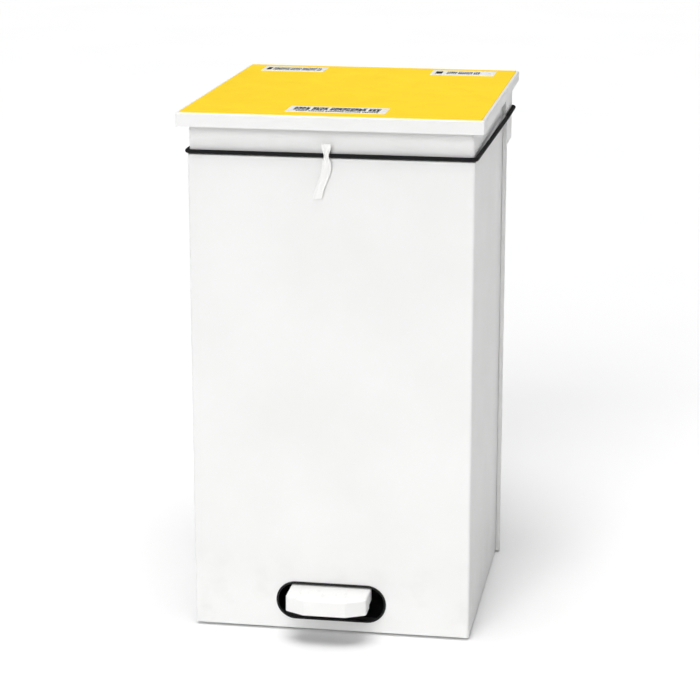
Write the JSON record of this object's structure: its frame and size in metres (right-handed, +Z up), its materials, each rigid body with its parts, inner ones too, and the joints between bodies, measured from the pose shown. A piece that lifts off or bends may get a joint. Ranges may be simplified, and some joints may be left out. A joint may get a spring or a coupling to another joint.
{
  "type": "pedal bin",
  "caption": "Freestanding pedal-operated waste sack bin: white steel body, yellow-topped tray lid, elastic sack band, soft-close lid linkage behind the column.",
  "frame": {"origin": "on the floor, under the centre of the whole outline", "axes": "+Z up, -Y towards the front and the pedal, +X to the right when facing the front"},
  "size_m": [0.426, 0.541, 0.7543],
  "materials": {
    "white_powder_coat": "semi-gloss",
    "black_powder_coat": "satin",
    "yellow_panel": "gloss",
    "label_film": "satin",
    "black_rubber": "matte",
    "elastic_cord": "matte",
    "strap": "satin",
    "pedal_plastic": "satin",
    "zinc_steel": "zinc plated",
    "damper_body": "satin",
    "damper_rod": "polished",
    "nylon": "satin",
    "magnet": "matte"
  },
  "bodies": {
    "frame": {"chassis": "black_powder_coat", "back_panel": "white_powder_coat", "rod_cover": "white_powder_coat", "hinge_casing": "white_powder_coat", "casing_cover": "white_powder_coat", "sack_collar": "white_powder_coat", "sack_shelf": "white_powder_coat", "elastic_band": "elastic_cord", "pull_tab": "strap", "pedal_axle": "zinc_steel", "axle_clips": "zinc_steel", "shell_magnets": "magnet", "damper_cylinder": "damper_body", "damper_bracket": "zinc_steel", "rod_guide_lower": "nylon", "rod_guide_upper": "nylon", "column_screws": "zinc_steel", "rod_cover_screws": "zinc_steel", "collar_rivets": "zinc_steel", "foot_front_left": "black_rubber", "foot_front_right": "black_rubber", "foot_rear_left": "black_rubber", "foot_rear_right": "black_rubber", "axle_bracket_left": "black_powder_coat", "axle_bracket_right": "black_powder_coat", "pedal_stop_left": "black_rubber", "pedal_stop_right": "black_rubber", "shell_guide_left": "nylon", "shell_guide_right": "nylon", "hinge_bearing_left": "nylon", "hinge_bearing_right": "nylon", "bearing_bracket_left": "white_powder_coat", "bearing_bracket_right": "white_powder_coat"},
    "shell": {"body_shell": "white_powder_coat", "slot_edging": "black_rubber"},
    "lid": {"lid_tray": "white_powder_coat", "lid_panel": "yellow_panel", "label_front": "label_film", "label_rear_left": "label_film", "label_rear_right": "label_film", "lid_buffers": "black_rubber", "hinge_arm_left": "white_powder_coat", "hinge_arm_right": "white_powder_coat", "hinge_arm_screws": "zinc_steel", "hinge_shaft": "zinc_steel", "shaft_clips": "zinc_steel", "lid_crank": "zinc_steel", "crank_pin": "zinc_steel"},
    "pedal": {"pedal_lever": "zinc_steel", "pedal_cap": "pedal_plastic", "pedal_cap_screws": "zinc_steel", "pedal_bush_left": "nylon", "pedal_bush_right": "nylon", "lever_pin": "zinc_steel"},
    "push_rod": {"push_rod": "zinc_steel", "rod_foot": "zinc_steel", "rod_head": "zinc_steel", "damper_arm": "zinc_steel", "damper_piston": "damper_rod"}
  },
  "joints": [
    {"name": "lid_hinge", "type": "hinge", "parent": "frame", "child": "lid", "pos_m": [0, 0.2435, 0.708], "axis": [-1, 0, 0], "range_deg": [0, 80]},
    {"name": "pedal_pivot", "type": "hinge", "parent": "frame", "child": "pedal", "pos_m": [0, -0.0625, 0.057], "axis": [1, 0, 0], "range_deg": [0, 10.5]},
    {"name": "rod_slide", "type": "slide", "parent": "frame", "child": "push_rod", "axis": [0, 0, 1], "range_m": [0, 0.05]},
    {"name": "shell_pull", "type": "slide", "parent": "frame", "child": "shell", "axis": [0, -1, 0], "range_m": [0, 0.45], "deforming": ["pull_tab"]}
  ],
  "couplings": [
    {"joint": "pedal_pivot", "follows": "lid_hinge", "ratio": 0.13125},
    {"joint": "rod_slide", "follows": "lid_hinge", "m_per_rad": 0.0358}
  ]
}
